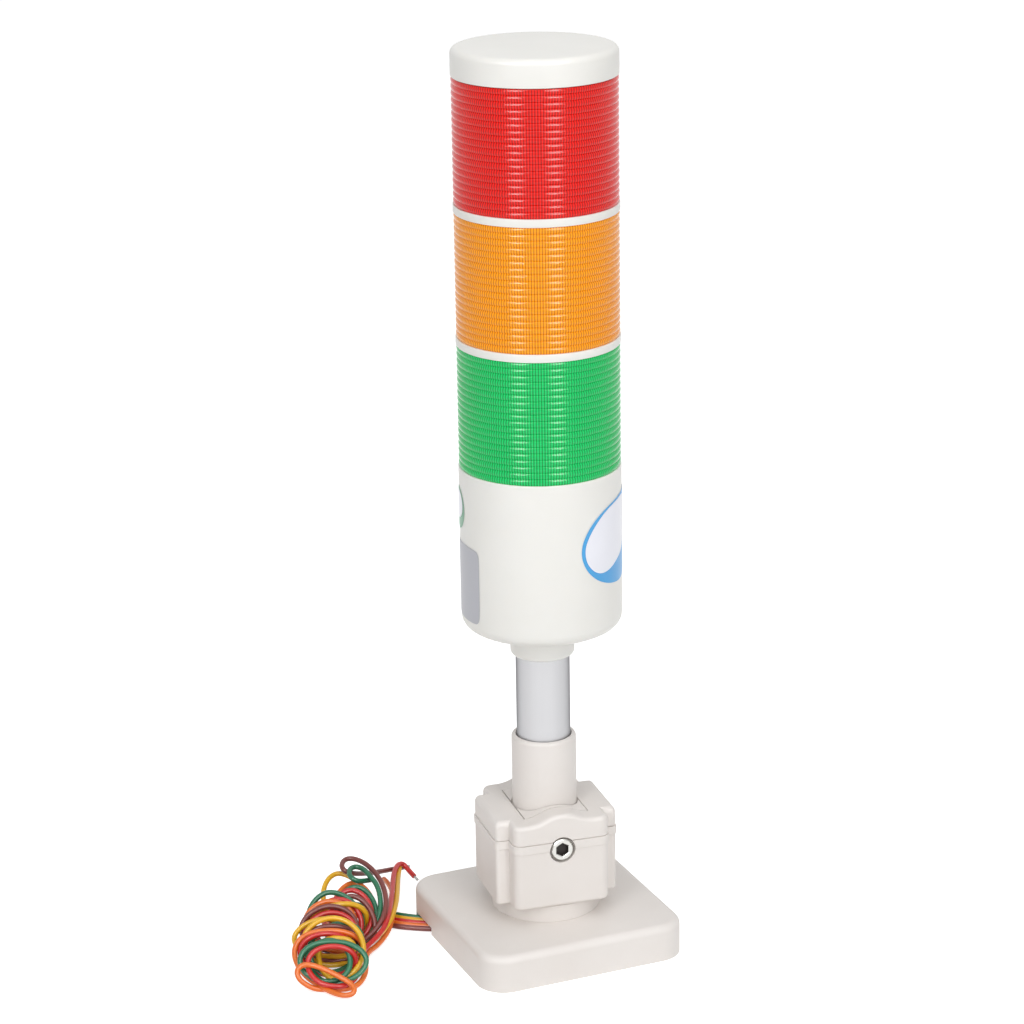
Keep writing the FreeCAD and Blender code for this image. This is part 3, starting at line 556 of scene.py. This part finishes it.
# run: from the mouth along the floor; end: the loose end, after the turns
# one turn: right side, far end and height of its top, left side, near end of its bottom, slant
leads = {
    "brown": {"length": 0.344,
             "run": [(-32.3, 15.5), (-37.0, 18.1), (-44.2, 23.3), (-48.4, 30.6), (-51.7, 36.7), (-57.3, 37.7),
                     (-65.3, 30.3), (-65.9, 18.5)],
             "turns": [(11.5, 32.2, 13.0, -0.0, 19.9, -1.0), (7.7, 21.8, 14.0, -9.3, 12.7, -1.5),
                       (8.8, 8.9, 13.0, -9.5, 7.0, -0.6), (8.5, 2.7, 11.0, -7.7, 4.2, 0.0)],
             "end": [(-66.9, 6.3, 1.2), (-61.7, 10.3, 1.5), (-57.2, 13.3, 2.4), (-52.8, 14.8, 4.2),
                     (-49.2, 17.3, 7.0), (-46.6, 22.1, 9.5), (-45.3, 28.1, 12.2), (-45.2, 35.1, 14.4),
                     (-46.5, 41.8, 15.8), (-48.9, 46.6, 16.2), (-51.8, 47.3, 16.1), (-54.2, 43.2, 15.8),
                     (-53.6, 40.1, 15.0), (-49.3, 42.1, 12.6), (-43.3, 47.1, 9.6), (-37.3, 52.1, 7.0),
                     (-31.5, 56.3, 5.0), (-26.3, 58.8, 3.7)]},
    "orange": {"length": 0.343,
             "run": [(-31.4, 17.1), (-35.8, 19.6), (-43.4, 25.4), (-47.6, 32.7), (-51.2, 39.0), (-56.8, 40.0),
                     (-64.5, 33.3), (-64.8, 22.0)],
             "turns": [(12.5, 42.4, 13.0, -0.8, 23.5, -0.5), (7.5, 23.6, 14.0, -9.3, 11.2, -2.4),
                       (10.4, 5.1, 12.5, -9.9, -11.3, -2.2)],
             "end": [(-77.5, -14.5, 1.2), (-75.1, -17.5, 1.3), (-72.7, -18.1, 1.7), (-71.6, -16.8, 2.8),
                     (-72.5, -14.4, 4.0), (-75.2, -11.4, 5.4), (-78.4, -7.7, 6.8), (-81.9, -4.5, 7.7),
                     (-84.7, -3.4, 7.8), (-86.8, -4.2, 6.8), (-86.8, -5.9, 5.0), (-84.6, -7.1, 3.1),
                     (-82.0, -7.9, 1.8), (-79.2, -9.2, 1.3), (-75.1, -11.6, 1.2), (-70.9, -11.1, 1.6),
                     (-67.7, -8.6, 2.4), (-65.0, -4.6, 3.3), (-63.1, 1.1, 3.8), (-60.2, 7.0, 3.2),
                     (-54.3, 11.9, 2.6), (-48.8, 17.3, 3.2), (-45.1, 22.5, 4.4), (-41.3, 30.1, 5.0),
                     (-38.3, 38.8, 5.0), (-36.4, 46.8, 4.5), (-36.2, 52.7, 3.8)]},
    "red": {"length": 0.387,
             "run": [(-30.5, 18.8), (-34.5, 21.0), (-42.6, 27.5), (-46.8, 34.8), (-50.8, 40.9), (-56.4, 41.9),
                     (-64.5, 34.3), (-64.9, 22.0)],
             "turns": [(12.5, 36.3, 13.0, -0.8, 23.5, -0.5), (8.7, 27.8, 14.0, -7.0, 14.8, -0.8),
                       (7.8, 19.8, 13.0, -8.5, 10.5, -1.0), (7.8, 3.8, 12.0, -7.8, 0.0, -1.5),
                       (10.1, -1.9, 11.0, -6.0, -12.0, 0.0)],
             "end": [(-75.4, -12.5, 1.3), (-70.5, -10.0, 1.7), (-66.4, -4.3, 2.4), (-63.4, 2.3, 3.0),
                     (-59.9, 6.7, 3.8), (-55.5, 9.5, 4.8), (-51.1, 13.6, 5.8), (-46.7, 21.2, 6.4),
                     (-42.3, 30.7, 6.4), (-38.8, 38.6, 5.9), (-36.1, 45.3, 5.6), (-33.3, 51.4, 5.4),
                     (-30.3, 56.2, 5.2), (-27.7, 57.3, 4.9), (-26.6, 54.6, 4.3), (-25.9, 51.2, 3.4)]},
    "yellow": {"length": 0.385,
             "run": [(-29.6, 20.5), (-33.2, 22.4), (-41.8, 29.6), (-46.1, 36.6), (-50.6, 42.5), (-56.2, 43.5),
                     (-63.0, 38.5), (-61.7, 28.6)],
             "turns": [(10.8, 48.9, 14.0, -4.8, 30.8, -3.6), (9.7, 22.9, 14.0, -9.2, 12.7, 0.5),
                       (6.9, 12.7, 13.5, -11.7, 7.7, 0.0), (8.0, 3.1, 11.0, -3.8, -7.0, 0.6),
                       (10.9, 10.9, 14.6, -8.5, 4.2, 0.0)],
             "end": [(-69.1, 3.2, 1.3), (-64.4, 5.7, 2.0), (-59.2, 9.7, 3.0), (-54.1, 12.7, 4.0),
                     (-48.8, 17.6, 4.8), (-44.1, 24.1, 5.3), (-39.8, 32.2, 5.6), (-36.1, 40.6, 5.6),
                     (-32.1, 50.0, 5.2), (-28.4, 58.0, 5.0)]},
    "green": {"length": 0.386,
             "run": [(-28.7, 22.1), (-32.0, 23.9), (-41.0, 31.6), (-45.5, 38.4), (-50.4, 44.0), (-56.0, 45.0),
                     (-64.7, 36.0), (-64.3, 21.7)],
             "turns": [(12.4, 38.2, 13.0, 0.4, 23.5, -0.5), (8.1, 28.8, 15.5, -8.6, 12.7, -3.6),
                       (9.6, 12.2, 13.0, -7.1, -8.9, -0.3), (13.2, -1.3, 12.0, -7.9, -10.2, -1.2),
                       (8.9, 0.7, 12.0, -5.5, -2.7, 0.0)],
             "end": [(-70.3, -0.2, 1.2), (-64.4, 5.9, 1.4), (-58.8, 12.6, 2.0), (-53.2, 17.9, 4.5),
                     (-49.8, 20.9, 8.0), (-47.8, 25.0, 11.0), (-47.0, 30.3, 13.3), (-47.9, 34.1, 14.5),
                     (-48.4, 39.1, 15.0), (-50.3, 41.8, 15.1), (-53.0, 40.7, 15.1), (-54.6, 36.9, 14.9),
                     (-53.6, 33.9, 14.4), (-50.6, 34.4, 13.4), (-46.9, 36.4, 12.4)]},
}


def hankPoint(s, side, z):
    front, back = Vector(hank["front"]), Vector(hank["back"])
    along = (back - front).normalized()
    across = Vector((along.y, -along.x))
    spot = front + along * s + across * side
    return (spot.x, spot.y, z)


def between(values, place):
    place = min(max(place, 0), len(values) - 1)
    low = min(int(place), len(values) - 2)
    return values[low] + (values[low + 1] - values[low]) * (place - low)


def coilPoints(turns):
    # each side of a turn is met at its own quarter of the way round
    right, far, high, left, near, slant = zip(*turns)
    whole = (len(turns) - 1) * 360 + hank["lastAngle"] - hank["firstAngle"]
    count = round(whole / 360 * hank["stepsPerTurn"])
    points = []
    for i in range(count + 1):
        angle = hank["firstAngle"] + whole * i / count
        c, s = math.cos(math.radians(angle)), math.sin(math.radians(angle))
        r, l = between(right, angle / 360), between(left, (angle - 180) / 360)
        top, bottom = (angle - 90) / 360, (angle - 270) / 360
        f, n, h = between(far, top), between(near, bottom), between(high, top)
        side = (r + l) / 2 + (r - l) / 2 * c + between(slant, top) * s
        height = hank["low"] + (h - hank["low"]) / 2 * (1 + s)
        points.append(hankPoint((f + n) / 2 + (f - n) / 2 * s, side, height))
    return points


def routeOf(lead):
    return [(x, y, leadSize["lift"]) for x, y in lead["run"]] + coilPoints(lead["turns"]) + lead["end"]


def nearestPair(points, i, j):
    # between segments i and j: the gap where they come nearest, and that place along each
    u, v, w = points[i + 1] - points[i], points[j + 1] - points[j], points[i] - points[j]
    uu, vv, uv, uw, vw = [(a * b).sum(1) for a, b in ((u, u), (v, v), (u, v), (u, w), (v, w))]
    s = numpy.clip((uv * vw - uw * vv) / numpy.maximum(uu * vv - uv * uv, 1e-9), 0, 1)
    t = numpy.clip((uv * s + vw) / vv, 0, 1)
    s = numpy.clip((uv * t - uw) / uu, 0, 1)
    return w + u * s[:, None] - v * t[:, None], s, t


def spreadApart(routes):
    # strands that meet push each other aside until they lie a diameter apart, and none sinks into the floor
    points = numpy.array([spot for route in routes.values() for spot in route])
    owner = numpy.repeat(numpy.arange(len(routes)), [len(route) for route in routes.values()])
    start = points.copy()
    runs = numpy.flatnonzero(owner[:-1] == owner[1:])
    i, j = numpy.triu_indices(len(runs), 1)
    apart = (owner[runs[i]] != owner[runs[j]]) | (runs[j] - runs[i] > parting["neighbours"])
    i, j = runs[i[apart]], runs[j[apart]]
    firsts = numpy.searchsorted(owner, range(len(routes)))
    free = numpy.concatenate([numpy.arange(parting["heldFirst"], len(route) - parting["heldLast"]) + first
                              for route, first in zip(routes.values(), firsts)])
    for turn in range(parting["rounds"]):
        gap, s, t = nearestPair(points, i, j)
        far = numpy.sqrt((gap ** 2).sum(1))
        near = far < leadSize["pitch"]
        push = gap[near] * ((leadSize["pitch"] - far[near]) / 2 / numpy.maximum(far[near], 1e-6))[:, None]
        move, hits = numpy.zeros_like(points), numpy.zeros(len(points))
        for index, share, way in ((i[near], 1 - s[near], 1), (i[near] + 1, s[near], 1),
                                  (j[near], 1 - t[near], -1), (j[near] + 1, t[near], -1)):
            numpy.add.at(move, index, way * push * share[:, None])
            numpy.add.at(hits, index, share)
        shift = points - start
        shift[free] += (move / numpy.maximum(hits, 1)[:, None])[free]
        even = shift.copy()
        even[free] = shift[free] * parting["own"] + (shift[free - 1] + shift[free + 1]) * parting["passedOn"]
        points = start + even
        points[:, 2] = numpy.maximum(points[:, 2], leadSize["lift"])
    return {name: points[owner == k].tolist() for k, name in enumerate(routes)}


def buildLeads():
    routes = spreadApart({name: routeOf(lead) for name, lead in leads.items()})
    for name, lead in leads.items():
        curve = bpy.data.curves.new("lead" + name.title(), "CURVE")
        curve.dimensions = "3D"
        curve.bevel_depth = leadSize["diameter"] / 2 * mm
        curve.bevel_resolution = 4
        curve.resolution_u = 8
        curve.use_fill_caps = True
        spline = curve.splines.new("NURBS")
        spline.points.add(len(routes[name]) - 1)
        for point, (x, y, z) in zip(spline.points, routes[name]):
            point.co = (x * mm, y * mm, z * mm, 1)
        spline.order_u = 3
        spline.use_endpoint_u = True
        curve.materials.append(leadPvc[name])
        piece = newObject("lead" + name.title(), curve)
        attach(piece, "base")
        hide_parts("lead_" + name, "lead_hank")
        x, y = lead["run"][1]


def buildTips():
    # stripped strands: one in the middle and the others round it, slightly splayed
    work = bmesh.new()
    outer, thick = tips["strands"] - 1, tips["width"] / 6
    for name in tips["leads"]:
        before, last = (Vector(spot) for spot in leads[name]["end"][-2:])
        turn = (last - before).to_track_quat("Z", "Y").to_matrix().to_4x4()
        for i in range(tips["strands"]):
            t = 2 * math.pi * i / outer
            out, splay = (0.0, 0.0) if i == outer else (2 * thick, tips["splay"])
            place = Matrix.Translation((out * math.cos(t), out * math.sin(t), tips["length"] / 2 - tips["sunk"]))
            lean = Matrix.Rotation(splay, 4, Vector((-math.sin(t), math.cos(t), 0)))
            bmesh.ops.create_cone(work, cap_ends=True, segments=tips["sides"], radius1=thick, radius2=thick,
                                  depth=tips["length"], matrix=Matrix.Translation(last) @ turn @ place @ lean)
    work.transform(Matrix.Scale(mm, 4))
    addPiece("strandTips", meshFrom(work, "strandTips"), tinned, "base", "tinned_wire", "lead_tips")


# --- the foot's parts, and the small or inner ones, keep their solid's form

footPieces = {"base_plate": "basePlate", "base_cover": "baseCover", "turret": "turretDisc",
              "hinge_body": "hingeBody", "hinge_lid": "hingeLid", "tilt_arm": "tiltArm"}
plainNodes = {
    "cover_screws": zincSteel, "turret_screws": zincSteel, "hinge_nut": zincSteel, "turret_nut": zincSteel,
    "turret_washer": zincSteel, "pole_screw": zincSteel, "pole_nut": zincSteel, "tie_rods": zincSteel,
    "tie_nuts": zincSteel, "mount_inserts": turnedBrass, "top_plate": lampAbs, "cap_gasket": foam,
    "driver_board": boardGreen, "driver_parts": blackMoulding, "buzzer": blackMoulding,
    "led_column_green": boardWhite, "led_column_amber": boardWhite, "led_column_red": boardWhite,
    "leds_green": ledBody, "leds_amber": ledBody, "leds_red": ledBody,
}

buildLenses()
buildHousing()
buildRings()
buildCap()
buildPole()
print("lamp made")
buildBolt()
buildStickers()
for node, label in footPieces.items():
    dressedCopy(label, node, footAbs, "foot_plastic")
print("foot made")
buildTips()
buildLeads()
print("leads made")
for node, material in plainNodes.items():
    mesh = frame["nodes"][node]
    mesh.data.materials.clear()
    mesh.data.materials.append(material)
    print("  painted", node)


# --- floor, lights and camera

studio = {"floorHalf": 3.0, "floorLift": 0.64, "ambient": 0.39, "aim": (0, 0, 0.16)}
view = {"place": (-0.3605, -0.84305, 0.44517), "azimuth": -22.6, "elevation": 18.22, "roll": -0.96,
        "lens": 109.77, "sensor": 36.0}
# azimuths are from the camera's; the shine strips only show in glossy faces, the front box never does
lamps = {
    "stripBoxLeft": {"azimuth": -29.5, "elevation": 30, "distance": 1.3, "size": (0.36, 0.9), "power": 3.6},
    "shineStripLeft": {"azimuth": -29.5, "elevation": 30, "distance": 1.29, "size": (0.36, 0.9), "power": 9.0,
                       "diffuse": False},
    "stripBoxRight": {"azimuth": 27.0, "elevation": 30, "distance": 1.3, "size": (0.36, 0.9), "power": 3.6},
    "shineStripRight": {"azimuth": 27.0, "elevation": 30, "distance": 1.29, "size": (0.36, 0.9), "power": 9.0,
                        "diffuse": False},
    "topBox": {"azimuth": 20, "elevation": 75, "distance": 1.2, "size": (1.0, 1.0), "power": 4.6},
    "frontBox": {"azimuth": 12, "elevation": 25, "distance": 1.5, "size": (1.6, 1.6), "power": 3.4,
                 "shine": False},
}


def backdropRays(tree):
    # 1 for the rays that see the white backdrop itself, straight, reflected or through a clear part
    light = addNode(tree, "ShaderNodeLightPath")
    seen = (light, "Is Camera Ray")
    for kind in ("Is Glossy Ray", "Is Transmission Ray"):
        seen = (addNode(tree, "ShaderNodeMath", {0: seen, 1: (light, kind)}, operation="MAXIMUM"), 0)
    return seen


def buildFloor():
    half = studio["floorHalf"]
    mesh = bpy.data.meshes.new("studioFloor")
    mesh.from_pydata([(-half, -half, 0), (half, -half, 0), (half, half, 0), (-half, half, 0)], [], [(0, 1, 2, 3)])
    material, tree = newMaterial("whiteSweepPaper")
    lift = addNode(tree, "ShaderNodeMath", {0: backdropRays(tree), 1: studio["floorLift"]}, operation="MULTIPLY")
    paper = addNode(tree, "ShaderNodeBsdfDiffuse", {"Color": linearColour("F6F6F6")})
    glow = addNode(tree, "ShaderNodeEmission", {"Color": (1, 1, 1, 1), "Strength": (lift, 0)})
    both = addNode(tree, "ShaderNodeAddShader", {0: (paper, 0), 1: (glow, 0)})
    finishMaterial(tree, both)
    mesh.materials.append(material)
    floor = newObject("studioFloor", mesh)


def buildWorld():
    world = bpy.data.worlds.new("studio")
    bpy.context.scene.world = world
    world.use_nodes = True
    tree = world.node_tree
    tree.nodes.clear()
    level = addNode(tree, "ShaderNodeMapRange", {"Value": backdropRays(tree), "To Min": studio["ambient"],
                                                 "To Max": 1.0})
    sky = addNode(tree, "ShaderNodeBackground", {"Color": (1, 1, 1, 1), "Strength": (level, 0)})
    addNode(tree, "ShaderNodeOutputWorld", {"Surface": (sky, 0)})


def addLamp(name, lamp):
    a, e = math.radians(view["azimuth"] + lamp["azimuth"]), math.radians(lamp["elevation"])
    away = Vector((math.sin(a) * math.cos(e), -math.cos(a) * math.cos(e), math.sin(e)))
    data = bpy.data.lights.new(name, "AREA")
    data.shape = "RECTANGLE"
    data.size, data.size_y = lamp["size"]
    data.energy = lamp["power"]
    box = newObject(name, data)
    box.location = Vector(studio["aim"]) + away * lamp["distance"]
    box.rotation_euler = away.to_track_quat("Z", "Y").to_euler()
    box.visible_diffuse = lamp.get("diffuse", True)
    box.visible_glossy = lamp.get("shine", True)


def buildCamera():
    a, e, r = (math.radians(view[key]) for key in ("azimuth", "elevation", "roll"))
    right = Vector((math.cos(a), math.sin(a), 0))
    up = Vector((-math.sin(a) * math.sin(e), math.cos(a) * math.sin(e), math.cos(e)))
    back = right.cross(up)
    tiltedRight = right * math.cos(r) + up * math.sin(r)
    tiltedUp = up * math.cos(r) - right * math.sin(r)
    data = bpy.data.cameras.new("productCamera")
    data.lens = view["lens"]
    data.sensor_width = view["sensor"]
    camera = newObject("productCamera", data)
    turn = Matrix((tiltedRight, tiltedUp, back)).transposed()
    camera.matrix_world = Matrix.Translation(view["place"]) @ turn.to_4x4()
    bpy.context.scene.camera = camera


buildFloor()
buildWorld()
for name, lamp in lamps.items():
    addLamp(name, lamp)
buildCamera()
bpy.context.scene.view_settings.view_transform = "Standard"
bpy.context.view_layer.update()
print("scene ready")
